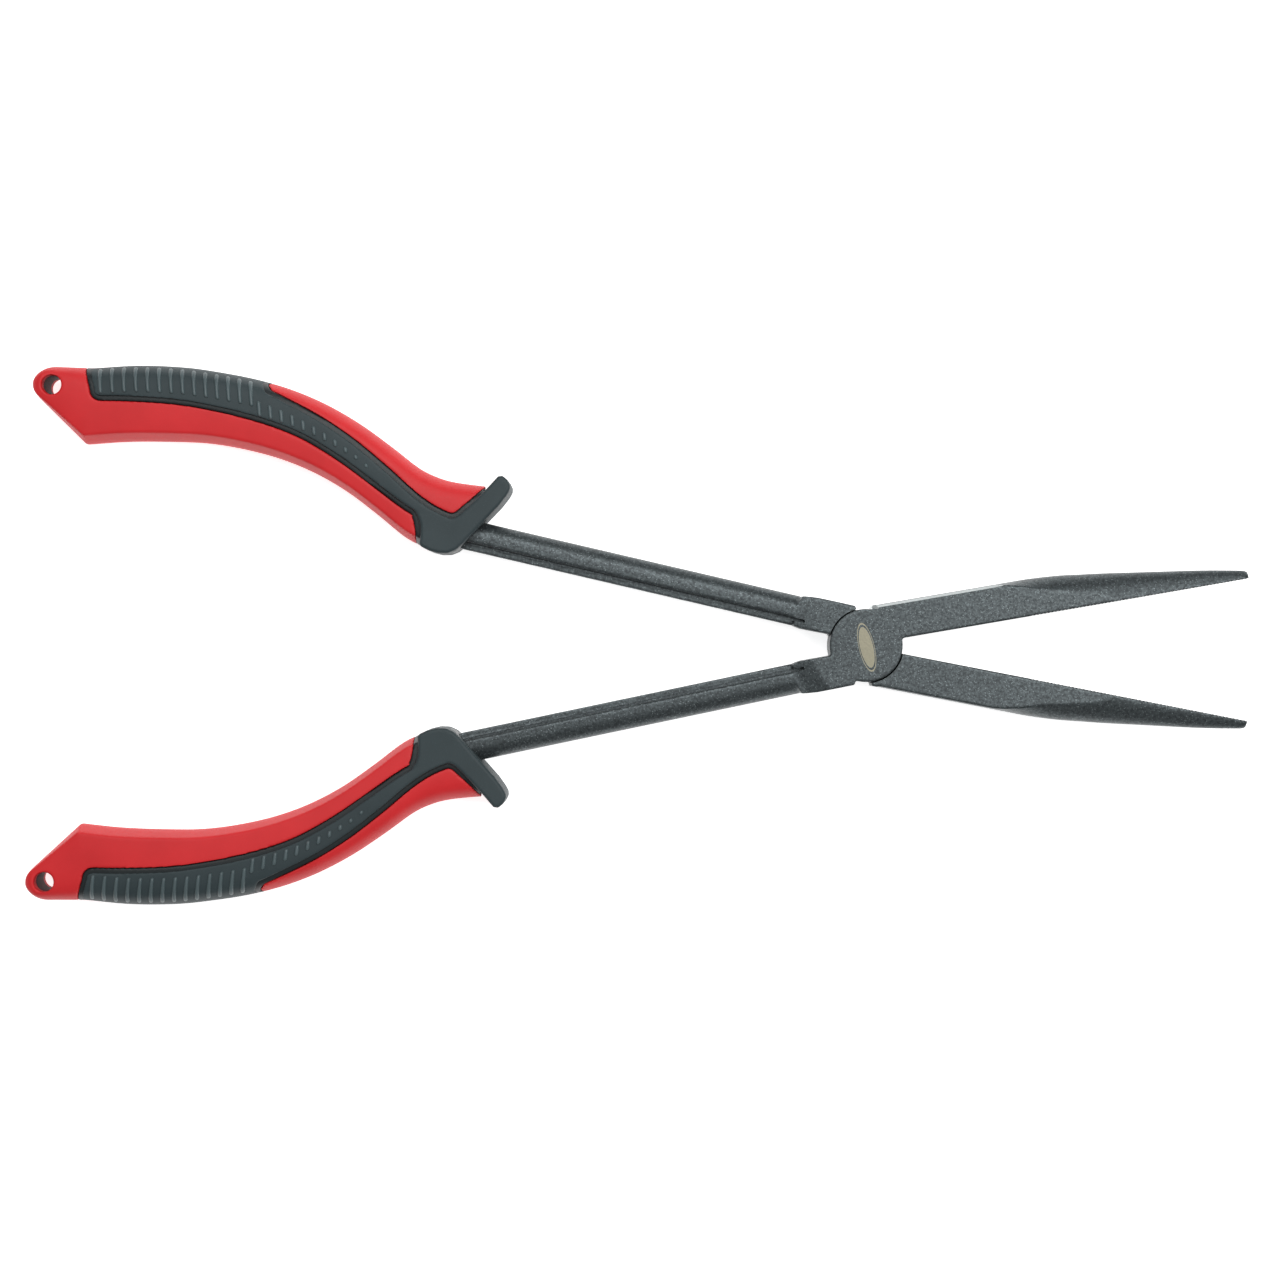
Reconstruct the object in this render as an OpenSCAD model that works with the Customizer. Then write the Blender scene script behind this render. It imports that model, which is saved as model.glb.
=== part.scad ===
// Long-reach needle-nose pliers: two identical forged halves, one turned over on the other,
// joined by a flush rivet, each with a moulded grip. Millimetres. Jaws point to +X, +Z is up.
// Each half is drawn closed, about the middle plane of the joint, with its jaw above the
// X axis and its handle below it, and is then turned to the stored, open pose.

/* [Pose] */
// Angle between the jaws as stored
open_angle = 20.7; // [0:0.1:44]

/* [Joint] */
// Thickness of the joint and of the jaws at their root
joint_t = 8.8; // [7:0.1:12]
// Radius of the round lap on each half
lap_r = 8.1; // [6.5:0.1:10]
// Gap between the two lap faces
lap_gap = 0.06; // [0.02:0.01:0.2]
// Gap between a lap and the shoulder around it
shoulder_gap = 0.25; // [0.1:0.05:0.5]
// Radius of the flat boss around the joint
boss_r = 12.3; // [11:0.1:15]
// Radius of the rivet's shank
rivet_r = 2.5; // [1.8:0.1:3.5]
// Radius of the rivet's countersunk ends
rivet_head_r = 3.6; // [3:0.1:5]
// Depth of the rivet's countersunk ends
rivet_head_h = 1.1; // [0.6:0.1:1.8]
// Running clearance around the rivet in the rear half
rivet_clearance = 0.04; // [0.01:0.01:0.1]

/* [Jaws] */
// Length of a jaw from the pivot to its tip
jaw_len = 86.6; // [60:0.5:120]
// Depth of a jaw at its root, from gripping face to back
jaw_depth = 8.3; // [6:0.1:11]
// Depth of a jaw at its tip
tip_depth = 1.9; // [1.2:0.1:3]
// Thickness of a jaw at its tip
tip_t = 2.8; // [2:0.1:5]
// Distance of the gripping face from the closing line
jaw_relief = 0.25; // [0.1:0.05:0.5]
// Slope of the forged back of a jaw, across half its thickness
jaw_draft = 0.5; // [0:0.1:0.8]
// Length of the serrated part of the gripping face
serrated_len = 50; // [20:1:60]
// Spacing of the serrations
tooth_pitch = 0.8; // [0.6:0.1:2]
// Depth of the serrations
tooth_h = 0.25; // [0.1:0.05:0.5]

/* [Shanks] */
// Distance from the pivot to the front of the grip
reach = 91.5; // [70:0.5:130]
// Width of a shank, its ledge included
shank_w = 6.8; // [5.5:0.1:8]
// Thickness of a shank
shank_t = 6.4; // [5:0.1:7.5]
// Width of the thin ledge along a shank's inner side
ledge_w = 1.7; // [1:0.1:2.2]
// Thickness of the ledge
ledge_t = 3.6; // [2.5:0.1:4.5]
// Slope of a shank away from the closing line, in degrees
shank_slope = 2.1; // [0:0.1:4]
// Width of the tang inside the grip
tang_w = 5; // [4:0.1:6]
// Thickness of the tang inside the grip
tang_t = 3.6; // [2.5:0.1:4.5]

/* [Grips] */
// Length of a grip from its front to its tail
grip_len = 100.3; // [85:0.1:130]
// Width of a grip at its waist
grip_w = 15.4; // [13:0.1:19]
// Thickness of a grip
grip_t = 13; // [12:0.1:16]
// Thickness of the finger guard
guard_t = 14.4; // [13:0.1:18]
// Depth of the soft overmould over the hard shell
skin = 1.9; // [1.2:0.1:2.4]
// Wall between the grip's outline and the core
core_inset = 3.6; // [3:0.1:4.4]
// Thickness of the core
core_t = 7.2; // [6:0.1:8.4]
// Angle of both grips towards the front half's closing side, in degrees
grip_cant = 0.45; // [0:0.05:1]
// Radius of the lanyard hole
lanyard_r = 2.1; // [1.2:0.1:2.4]
// Distance of the lanyard hole from the line of the shank
lanyard_drop = 14.1; // [12:0.1:17]
// Radius of the tail around the lanyard hole
tail_r = 4.4; // [4:0.1:6]

/* [Hidden] */
$fn = 64;
half_t = joint_t / 2;
over = 1; // how far a cutter runs past what it cuts

// ---- smooth curves through a few points [place, value]
function place_at(p, x, i = 0) = i >= len(p) - 2 || x <= p[i + 1].x ? i : place_at(p, x, i + 1);
function slope_at(p, i) =
    let(a = max(i - 1, 0), b = min(i + 1, len(p) - 1))
    (p[b].y - p[a].y) / (p[b].x - p[a].x);
function curve(p, x) =
    let(i = place_at(p, x), h = p[i + 1].x - p[i].x, t = (x - p[i].x) / h,
        m0 = slope_at(p, i) * h, m1 = slope_at(p, i + 1) * h)
    (2 * pow(t, 3) - 3 * t * t + 1) * p[i].y + (pow(t, 3) - 2 * t * t + t) * m0
    + (3 * t * t - 2 * pow(t, 3)) * p[i + 1].y + (pow(t, 3) - t * t) * m1;
function steps(a, b, n) = [for (i = [0:n]) a + (b - a) * i / n];
function arc(centre, r, from, to, n) =
    [for (a = steps(from, to, n)) centre + r * [cos(a), sin(a)]];

// ---- a closed solid through rings along X, each with the same number of points
module loft(rings) {
    m = len(rings[0]);
    last = len(rings) - 1;
    sides = [for (i = [0:last - 1], j = [0:m - 1])
        let(a = i * m + j, b = i * m + (j + 1) % m)
        each [[a, b + m, b], [a, a + m, b + m]]];
    start_cap = [for (j = [1:m - 2]) [0, j, j + 1]];
    end_cap = [for (j = [1:m - 2]) [last * m, last * m + j + 1, last * m + j]];
    polyhedron(points = [for (r = rings) each r], faces = concat(sides, start_cap, end_cap));
}

// ---- jaw
jaw_root = 0.045; // share of the jaw's length that is drawn with the joint
depth_shares = [[0, 1], [0.38, 1], [0.48, 0.96], [0.58, 0.87], [0.7, 0.7], [0.85, 0.46],
                [1, tip_depth / jaw_depth]];
thickness_shares = [[0, 1], [0.44, 1], [0.56, 0.95], [0.7, 0.78], [0.85, 0.55],
                    [1, tip_t / joint_t]];
roundness = [[0, 16], [0.36, 14], [0.46, 5], [0.56, 3], [0.7, 2.4], [1, 2.2]];
jaw_stations = [jaw_root, 0.3, 0.36, 0.4, 0.44, 0.48, 0.52, 0.57, 0.63, 0.7, 0.78, 0.86, 0.93, 0.985, 1];
side_points = 8; // points on each quarter of a jaw's back

function jaw_back(share) = jaw_relief + jaw_depth * curve(depth_shares, share);
function blunt(share) = share > 0.99 ? 0.8 : 1; // the tip's end is a little smaller
function jaw_ring(share) =
    let(depth = jaw_depth * min(1, curve(depth_shares, share)) * blunt(share),
        h = half_t * min(1, curve(thickness_shares, share)) * blunt(share),
        n = curve(roundness, share), draft = min(jaw_draft, depth / 4))
    [for (a = steps(-90, 90, 2 * side_points))
        let(c = pow(abs(cos(a)), 2 / n), s = sign(a) * pow(abs(sin(a)), 2 / n))
        [share * jaw_len, jaw_relief + c * (depth - draft * abs(s)), h * s]];

tooth_land = 0.05; // how far the grooves start below the gripping face, which leaves flat teeth
module serrations() {
    foot = jaw_relief - tooth_land;
    last = floor(serrated_len / tooth_pitch);
    first = jaw_len - last * tooth_pitch;
    grooves = [for (i = [0:last - 1])
        each [[first + i * tooth_pitch, foot],
              [first + (i + 0.5) * tooth_pitch, jaw_relief + tooth_h]]];
    linear_extrude(height = joint_t + 2 * over, center = true)
        polygon(concat(grooves, [[jaw_len, foot], [jaw_len, -over], [first, -over]]));
}

module jaw() {
    difference() {
        loft([for (share = jaw_stations) jaw_ring(share)]);
        serrations();
    }
}

// ---- joint
shoulder_jaw = 71; // angle of the jaw's shoulder around the pivot
shoulder_shank = 244; // angle of the shank's shoulder around the pivot
shoulder_out = 1; // how far the shank's shoulder stands out past the lap
ramp = 3.2; // length of the slope from the boss down to the shank
root_end = boss_r + ramp + 1.2;

function polar(r, a) = r * [cos(a), sin(a)];
function shank_top(x) = -0.95 + (x + lap_r) * tan(shank_slope);
function shank_mid(x) = shank_top(x) - shank_w / 2;

module jaw_root_outline() {
    end = jaw_root * jaw_len + 0.2;
    back = jaw_back(0);
    polygon([polar(lap_r - 1.5, shoulder_jaw), [back / tan(shoulder_jaw), back], [end, back],
             [end, jaw_relief], [1, jaw_relief]]);
}

module shank_root_outline() {
    polygon([[-1, -0.95], [-root_end + 1.8, -0.9], [-root_end, shank_top(-root_end)],
             [-root_end, shank_top(-root_end) - shank_w], [-boss_r, -8.4],
             polar(lap_r + shoulder_out, shoulder_shank),
             polar(lap_r - 1.5, shoulder_shank)]);
}

// The boss is flat out to boss_r and then slopes down to the shank all round the pivot.
module boss_envelope() {
    rotate_extrude()
        polygon([[0, -half_t], [boss_r, -half_t], [boss_r + ramp, -shank_t / 2],
                 [root_end + over, -shank_t / 2], [root_end + over, shank_t / 2],
                 [boss_r + ramp, shank_t / 2], [boss_r, half_t], [0, half_t]]);
}

module joint_block() {
    linear_extrude(height = joint_t, center = true) jaw_root_outline();
    intersection() {
        linear_extrude(height = joint_t, center = true) shank_root_outline();
        boss_envelope();
    }
}

// ---- shank and tang
// Across the shank: thickness along X, width along -Y from the ledge's edge to the round side
module shank_section() {
    r = shank_t / 2;
    translate([-ledge_t / 2, -1.5 * ledge_w]) square([ledge_t, 1.5 * ledge_w]);
    translate([-r, r - shank_w]) square([shank_t, shank_w - r - ledge_w]);
    translate([0, r - shank_w]) circle(r = r);
}

shank_start = -root_end + 0.6; // just inside the joint's root
shank_end = -reach - 5; // inside the finger guard
module shank() {
    translate([shank_start, shank_top(shank_start), 0]) rotate([0, 0, shank_slope])
        rotate([0, -90, 0]) linear_extrude(height = (shank_start - shank_end) / cos(shank_slope))
            shank_section();
}

tang_share = 0.7; // share of the grip's length that the tang reaches
tang_join = 0.17; // share of the grip's length where the tang meets the grip's spine
function smooth(t) = let(s = min(max(t, 0), 1)) s * s * (3 - 2 * s);
function tang_mid(share) =
    let(t = smooth((share - 0.03) / (tang_join - 0.03)))
    (1 - t) * shank_mid(grip_x(share)) + t * spine(share);

module tang() {
    shares = steps(0.035, tang_share, 14);
    half_w = [for (s = shares) tang_w / 2 * (1 - 0.3 * (s / tang_share))];
    linear_extrude(height = tang_t, center = true)
        polygon(concat([for (i = [0:len(shares) - 1])
                            [grip_x(shares[i]), tang_mid(shares[i]) + half_w[i]]],
                       [for (i = [len(shares) - 1:-1:0])
                            [grip_x(shares[i]), tang_mid(shares[i]) - half_w[i]]]));
}

module forging() {
    difference() {
        union() {
            joint_block();
            jaw();
            shank();
            tang();
            cylinder(r = lap_r, h = half_t);
        }
        // room for the other half's lap
        translate([0, 0, -half_t - over])
            cylinder(r = lap_r + shoulder_gap, h = half_t + over + lap_gap / 2);
        translate([0, 0, -over]) cylinder(r = rivet_r, h = half_t + 2 * over);
        translate([0, 0, half_t - rivet_head_h])
            cylinder(r1 = rivet_r, r2 = rivet_head_r, h = rivet_head_h);
        children();
    }
}

// ---- rivet: pressed into the front half, running in the rear half
module rivet() {
    translate([0, 0, -half_t]) cylinder(r = rivet_r, h = joint_t);
    for (side = [0, 1]) mirror([0, 0, side]) translate([0, 0, half_t - rivet_head_h])
        cylinder(r1 = rivet_r, r2 = rivet_head_r, h = rivet_head_h);
}

// ---- grip outline. A share runs from 0 at the grip's front to 1 at its tail.
waist_shares = [[-0.05, 1.03], [0.13, 1.02], [0.28, 0.995], [0.38, 1], [0.5, 1.02],
                [0.6, 1.04], [0.68, 1.09], [0.78, 1.12], [0.86, 1.13], [1, 1.13]];
spine_drop = [[-0.05, 3.7], [0, 3.2], [0.06, 2.95], [0.1, 3.5], [0.135, 4.6], [0.2, 7.95],
              [0.28, 11.7], [0.36, 14.4], [0.44, 16], [0.52, 16.6], [0.6, 16.45],
              [0.68, 15.6], [0.78, 13.8], [0.87, 11.4], [1, 7.8]];
thickness_swell = [[-0.05, 0.97], [0.15, 0.98], [0.4, 1], [0.75, 1], [0.9, 0.96], [1, 0.92]];
grip_front = -0.02; // share where the hard shell is cut from, inside the finger guard
knee = 0.865; // share of the corner where the inner side turns to the tail
lip = 0.88; // share where the outer side turns to the tail

function grip_x(share) = -reach - share * grip_len;
function spine(share) = shank_mid(-reach) - curve(spine_drop, share);
function half_width(share) = grip_w / 2 * curve(waist_shares, share);
function inner_edge(share) = spine(share) + half_width(share);
function outer_edge(share) = spine(share) - half_width(share);
lanyard = [grip_x(1) + tail_r, shank_mid(-reach) - lanyard_drop];
knee_point = [grip_x(knee), inner_edge(knee)];
lip_point = [grip_x(lip), outer_edge(lip)];
// the tail's two straight sides are tangent to its round end
function tangent(p, side) =
    let(d = p - lanyard, a = atan2(d.y, d.x) + side * acos(tail_r / norm(d)))
    lanyard + tail_r * [cos(a), sin(a)];
tail_in = tangent(knee_point, 1);
tail_out = tangent(lip_point, -1);
function between(a, b, x) = a.y + (b.y - a.y) * (x - a.x) / (b.x - a.x);
function round_tail(x, side) =
    lanyard.y + side * sqrt(max(pow(tail_r, 2) - pow(x - lanyard.x, 2), 0.01));
// the two sides of the outline at any place along the grip
function inner_side(x) = x < tail_in.x ? round_tail(x, 1)
    : x < knee_point.x ? between(tail_in, knee_point, x)
    : inner_edge((-x - reach) / grip_len);
function outer_side(x) = x < tail_out.x ? round_tail(x, -1)
    : x < lip_point.x ? between(tail_out, lip_point, x)
    : outer_edge((-x - reach) / grip_len);

tail_stations = concat([for (a = [4, 24, 44, 62]) grip_x(1) + tail_r * (1 - cos(a))],
                       [lanyard.x - 0.6, lanyard.x + 1.6]);
body_stations = concat([0.92, lip, knee + 0.004, knee - 0.01, 0.84], steps(0.8, 0.16, 14),
                       [0.13, 0.1, 0.07, 0.03, grip_front]);
grip_stations = concat(tail_stations, [for (s = body_stations) grip_x(s)]);

module grip_outline(inset = 0) {
    offset(delta = -inset)
        polygon(concat([for (x = grip_stations) [x, inner_side(x)]],
                       [for (i = [len(grip_stations) - 1:-1:0])
                            [grip_stations[i], outer_side(grip_stations[i])]]));
}

ring_points = 20;
function grip_ring(x) =
    let(share = (-x - reach) / grip_len, mid = (inner_side(x) + outer_side(x)) / 2,
        w = (inner_side(x) - outer_side(x)) / 2,
        h = grip_t / 2 * curve(thickness_swell, share) * min(1, 0.75 + w / 14), n = 3.2)
    [for (j = [0:ring_points - 1])
        let(a = 360 * (j + 0.5) / ring_points,
            c = sign(cos(a)) * pow(abs(cos(a)), 2 / n),
            s = sign(sin(a)) * pow(abs(sin(a)), 2 / n))
        [x, mid + w * c, h * s]];

module grip_body() {
    loft([for (x = grip_stations) grip_ring(x)]);
}

// ---- the soft overmould's outline on both faces
strip_in_shares = [[-0.05, 0.3], [0.13, 0.32], [0.18, 0.36], [0.25, 0.37], [0.33, 0.32],
                   [0.4, 0.25], [0.48, 0.21], [0.58, 0.15], [0.68, 0.06], [0.78, 0], [0.9, -0.12]];
strip_out_shares = [[0.04, -0.1], [0.085, -0.22], [0.135, -0.35], [0.23, -0.45], [0.33, -0.55],
                    [0.43, -0.68], [0.485, -0.83]];
wrap_front = 0.493; // share where the overmould starts to wrap the grip's outer side
wrap_back = 0.872; // share where its edge reaches the face at the tail
wrap_slant = 2.8; // how much further back that edge is on the grip's outer side
corner = 2.5; // radius of the overmould's tail corner
outside = 6; // how far a cutter's outline stands out past the grip
function strip_in(share) = spine(share) + half_width(share) * curve(strip_in_shares, share);
function strip_out(share) = spine(share) + half_width(share) * curve(strip_out_shares, share);

strip_front = 0.04; // share where the strip starts, inside the guard
module strip_outline() {
    back = grip_x(wrap_back);
    side = outer_edge(wrap_front);
    turn = wrap_back - corner / grip_len;
    polygon(concat([for (s = steps(strip_front, turn, 22)) [grip_x(s), strip_in(s)]],
                   arc([back + corner, strip_in(turn) - corner], corner, 110, 170, 3),
                   [[back - wrap_slant, outer_edge(wrap_back)],
                    [back - wrap_slant, side - outside], [grip_x(wrap_front), side - outside],
                    [grip_x(wrap_front), side + 1]],
                   [for (s = steps(wrap_front - 0.01, strip_front, 12)) [grip_x(s), strip_out(s)]]));
}

// ---- the finger guard and the heel around the shank, from the grip's front datum
datum = [-reach, shank_mid(-reach)];
heel = [[-10.5, 4.2], [-8.9, 4.9], [-7, 5.4], [-4.9, 5.55], [-2.9, 5.15], [-1.3, 4.1], [-0.2, 2.6]];
guard_front = [[3.6, -3.6], [6.1, -7.5], [7.35, -10], [7.75, -11.2]];
guard_tip = [[7.7, -12.2], [6.85, -13.35], [5.6, -14.05], [4.6, -13.75]];
guard_back = [[3.9, -12.7], [2.9, -11.5], [2.1, -10.9], [-0.55, -7.3], [-3.1, -4.1], [-4.4, -3.5]];
guard_inside = [[-12.4, -1.4], [-11.7, -0.4], [-11, 1.4], [-10.6, 3]]; // its edge along the inner band
module guard_outline(inset = 0) {
    translate(datum) offset(delta = -inset)
        polygon(concat(heel, guard_front, guard_tip, guard_back, guard_inside));
}

// what the overmould takes away from the hard shell
module overmould_room() {
    difference() {
        linear_extrude(height = guard_t + 2 * over, center = true) strip_outline();
        linear_extrude(height = grip_t - 2 * skin, center = true) grip_outline(skin);
    }
}

module guard() {
    bevel = 0.9;
    linear_extrude(height = guard_t, center = true) guard_outline(bevel);
    linear_extrude(height = guard_t - 2 * bevel, center = true) guard_outline();
}

// everything in front of the guard's back edge
module guard_room() {
    far = 20;
    linear_extrude(height = guard_t + 2 * over, center = true) translate(datum)
        polygon(concat(guard_back, guard_inside,
                       [heel[0], [heel[0].x, far], [far, far], [far, -far], [guard_back[0].x, -far]]));
}

module steel_room() {
    shank();
    tang();
}

module lanyard_hole() {
    translate([lanyard.x, lanyard.y, -grip_t]) cylinder(r = lanyard_r, h = 2 * grip_t);
}

core_front = 14; // distance from the grip's front datum to the core
module core_solid() {
    linear_extrude(height = core_t, center = true) difference() {
        union() {
            grip_outline(core_inset);
            translate(lanyard) circle(r = lanyard_r + 0.9);
        }
        translate([-reach - core_front, spine(0) - grip_w]) square([grip_len, 2 * grip_w]);
    }
}

// A grip's mouldings are turned a little about its front, and the steel runs straight through.
module canted(side) {
    translate(datum) rotate([0, 0, side * grip_cant]) translate(-datum) children();
}

module core(side) {
    difference() {
        canted(side) difference() {
            core_solid();
            lanyard_hole();
        }
        steel_room();
    }
}

module shell(side) {
    difference() {
        canted(side) difference() {
            grip_body();
            overmould_room();
            guard_room();
            core_solid();
            lanyard_hole();
        }
        steel_room();
    }
}

module overmould(side) {
    difference() {
        canted(side) union() {
            intersection() {
                grip_body();
                overmould_room();
            }
            guard();
        }
        steel_room();
    }
}

// ---- the two halves as stored: the front one as drawn, the rear one turned over
module front() {
    translate([0, 0, half_t]) rotate([0, 0, open_angle / 2]) children();
}

module rear() {
    translate([0, 0, half_t]) rotate([0, 0, -open_angle / 2]) rotate([180, 0, 0]) children();
}

module running_room() {
    translate([0, 0, -over]) cylinder(r = rivet_r + rivet_clearance, h = joint_t);
    translate([0, 0, half_t - rivet_head_h - rivet_clearance])
        cylinder(r1 = rivet_r + rivet_clearance, r2 = rivet_head_r + rivet_clearance,
                 h = rivet_head_h + rivet_clearance + 0.001);
}

module front_half() { color("#4a4f51") front() forging(); }
module rear_half() { color("#4a4f51") rear() forging() running_room(); }
module pivot_rivet() { color("#5a5f61") translate([0, 0, half_t]) rivet(); }
module front_core() { color("#1c1618") front() core(-1); }
module rear_core() { color("#1c1618") rear() core(1); }
module front_shell() { color("#d8343a") front() shell(-1); }
module rear_shell() { color("#d8343a") rear() shell(1); }
module front_overmould() { color("#3c474a") front() overmould(-1); }
module rear_overmould() { color("#3c474a") rear() overmould(1); }

front_half();
rear_half();
pivot_rivet();
front_core();
rear_core();
front_shell();
rear_shell();
front_overmould();
rear_overmould();
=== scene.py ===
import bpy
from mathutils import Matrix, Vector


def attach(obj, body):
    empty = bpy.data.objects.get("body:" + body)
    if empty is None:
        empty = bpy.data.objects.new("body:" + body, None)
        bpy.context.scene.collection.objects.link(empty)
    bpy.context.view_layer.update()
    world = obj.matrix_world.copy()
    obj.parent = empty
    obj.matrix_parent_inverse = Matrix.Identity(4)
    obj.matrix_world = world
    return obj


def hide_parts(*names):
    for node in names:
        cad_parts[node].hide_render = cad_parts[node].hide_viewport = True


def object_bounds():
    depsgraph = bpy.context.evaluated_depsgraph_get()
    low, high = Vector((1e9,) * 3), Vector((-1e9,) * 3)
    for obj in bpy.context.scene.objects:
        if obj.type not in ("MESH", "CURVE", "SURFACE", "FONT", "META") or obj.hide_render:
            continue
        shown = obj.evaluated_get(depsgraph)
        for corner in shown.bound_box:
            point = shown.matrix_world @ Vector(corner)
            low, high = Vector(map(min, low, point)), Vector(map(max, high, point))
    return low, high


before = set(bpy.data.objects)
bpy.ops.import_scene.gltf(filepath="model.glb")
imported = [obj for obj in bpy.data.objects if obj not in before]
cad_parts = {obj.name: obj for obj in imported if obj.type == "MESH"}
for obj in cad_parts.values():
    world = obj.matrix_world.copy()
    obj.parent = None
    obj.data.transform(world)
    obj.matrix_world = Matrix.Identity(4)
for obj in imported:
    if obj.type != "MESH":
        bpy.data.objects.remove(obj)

"""Long-reach needle-nose pliers: two coated steel forgings on a flush pivot, each with a red
hard shell, a soft grey overmould and a dark core. Every piece is modelled in millimetres in
the frame of a closed half (jaw above the X axis, handle below it, z from the joint's middle)
and is then turned, in metres, to where the stored pliers hold it."""

import logging
import math
from dataclasses import dataclass, field
from enum import Enum

import bmesh
import bpy
from mathutils import Matrix, Vector

CAD_BOX = [list(corner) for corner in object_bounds()]
log = logging.getLogger("pliers")
Point = tuple[float, float]
MM = 0.001
OPEN_ANGLE = 20.7
HALF_T = 4.4
PAST = 9  # how far a cutter reaches past the middle plane, clear of every face
CAMERA_AT = (-0.04996, 0.00067, 0.5794)
CAMERA_TURN = 0.63
LENS = 72.7


class Side(Enum):
    """The two halves: the front one lies as drawn, the rear one is turned over."""

    FRONT = "front"
    REAR = "rear"

    @property
    def sign(self) -> int:
        """+1 for the front half and -1 for the rear half."""
        return 1 if self is Side.FRONT else -1

    def placing(self) -> Matrix:
        """The move from a closed half in millimetres to the stored pliers in metres.

        Returns:
            The matrix of that move.
        """
        turn = Matrix.Rotation(math.radians(self.sign * OPEN_ANGLE / 2), 4, "Z")
        flip = Matrix.Rotation(0 if self is Side.FRONT else math.pi, 4, "X")
        return Matrix.Translation((0, 0, HALF_T * MM)) @ turn @ flip @ Matrix.Scale(MM, 4)


class Join(Enum):
    """How one solid acts on another."""

    CUT = "DIFFERENCE"
    FUSE = "UNION"
    COMMON = "INTERSECT"


# ---------------------------------------------------------------- curves and outlines
def curve(points: list[Point], x: float) -> float:
    """A smooth curve through a few points.

    Args:
        points: Pairs of place and value, in rising order of place.
        x: The place to read.

    Returns:
        The curve's value there.
    """
    last = len(points) - 2
    i = next((k for k in range(last) if x <= points[k + 1][0]), last)

    def slope(k: int) -> float:
        """The slope at point k, taken between its neighbours."""
        a, b = points[max(k - 1, 0)], points[min(k + 1, len(points) - 1)]
        return (b[1] - a[1]) / (b[0] - a[0])

    step = points[i + 1][0] - points[i][0]
    t = (x - points[i][0]) / step
    return ((2 * t**3 - 3 * t * t + 1) * points[i][1] + (t**3 - 2 * t * t + t) * slope(i) * step
            + (3 * t * t - 2 * t**3) * points[i + 1][1] + (t**3 - t * t) * slope(i + 1) * step)


def through(points: list[Point], parts: int = 4) -> list[Point]:
    """Rounds a row of points into a smooth line.

    Args:
        points: The points the line passes through.
        parts: How many short pieces each stretch is given.

    Returns:
        The points of the smooth line.
    """
    row = [points[0], *points, points[-1]]
    line = []
    for a, b, c, d in zip(row, row[1:], row[2:], row[3:]):
        for k in range(parts):
            t = k / parts
            line.append(tuple(0.5 * (2 * q + (r - p) * t + (2 * p - 5 * q + 4 * r - s) * t * t
                                     + (3 * q - p - 3 * r + s) * t**3)
                              for p, q, r, s in zip(a, b, c, d)))
    return [*line, points[-1]]


def steps(start: float, end: float, count: int) -> list[float]:
    """Evenly spaced values from start to end, both included."""
    return [start + (end - start) * k / count for k in range(count + 1)]


def arc(centre: Point, radius: float, start: float, end: float, count: int) -> list[Point]:
    """Points along an arc.

    Args:
        centre: The arc's centre.
        radius: Its radius.
        start: Its first angle in degrees.
        end: Its last angle in degrees.
        count: How many stretches it is cut into.

    Returns:
        The points, ends included.
    """
    return [(centre[0] + radius * math.cos(math.radians(a)),
             centre[1] + radius * math.sin(math.radians(a))) for a in steps(start, end, count)]


def moved(points: list[Point], by: Point) -> list[Point]:
    """The points, shifted."""
    return [(x + by[0], y + by[1]) for x, y in points]


# ---------------------------------------------------------------- modelling by operators
def select_only(*objects: bpy.types.Object) -> None:
    """Selects the objects and nothing else, and makes the first one active.

    Args:
        objects: The objects, the active one first.
    """
    bpy.ops.object.select_all(action="DESELECT")
    for item in objects:
        item.select_set(True)
    bpy.context.view_layer.objects.active = objects[0]


def new_outline(name: str, points: list[tuple[float, float, float]]) -> bpy.types.Object:
    """Adds a filled circle and draws its points out to an outline.

    Args:
        name: The new object's name.
        points: Where each point of the circle goes.

    Returns:
        The object, in edit mode with all of it selected.
    """
    bpy.ops.object.select_all(action="DESELECT")
    bpy.ops.mesh.primitive_circle_add(vertices=len(points), radius=1, fill_type="NGON")
    outline = bpy.context.object
    outline.name = name
    for vertex, place in zip(outline.data.vertices, points):
        vertex.co = place
    bpy.ops.object.mode_set(mode="EDIT")
    bpy.ops.mesh.select_all(action="SELECT")
    return outline


def close_up(solid: bpy.types.Object) -> bpy.types.Object:
    """Turns a solid's faces outwards and leaves edit mode.

    Args:
        solid: The solid, in edit mode.

    Returns:
        The same solid.
    """
    bpy.ops.mesh.select_all(action="SELECT")
    bpy.ops.mesh.normals_make_consistent(inside=False)
    bpy.ops.object.mode_set(mode="OBJECT")
    return solid


def prism(name: str, outline: list[Point], low: float, high: float) -> bpy.types.Object:
    """Extrudes an outline in the XY plane.

    Args:
        name: The new object's name.
        outline: The outline's points, in order.
        low: The height of its lower face.
        high: The height of its upper face.

    Returns:
        The prism.
    """
    solid = new_outline(name, [(x, y, low) for x, y in outline])
    bpy.ops.mesh.extrude_region_move(TRANSFORM_OT_translate={"value": (0, 0, high - low)})
    return close_up(solid)


def loft(name: str, section: list[Point],
         stations: list[tuple[float, float, float, float]]) -> bpy.types.Object:
    """Extrudes a section along X from station to station, resized at each.

    Args:
        name: The new object's name.
        section: The section's points across Y and Z, at unit size.
        stations: X, the section's middle in Y, and its size in Y and in Z.

    Returns:
        The solid.
    """
    x, mid, wide, high = stations[0]
    solid = new_outline(name, [(x, mid + a * wide, b * high) for a, b in section])
    for before, after in zip(stations, stations[1:]):
        shift = (after[0] - before[0], after[1] - before[1], 0)
        bpy.ops.mesh.extrude_region_move(TRANSFORM_OT_translate={"value": shift})
        bpy.ops.transform.resize(value=(1, after[2] / before[2], after[3] / before[3]),
                                 center_override=(after[0], after[1], 0))
    return close_up(solid)


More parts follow.
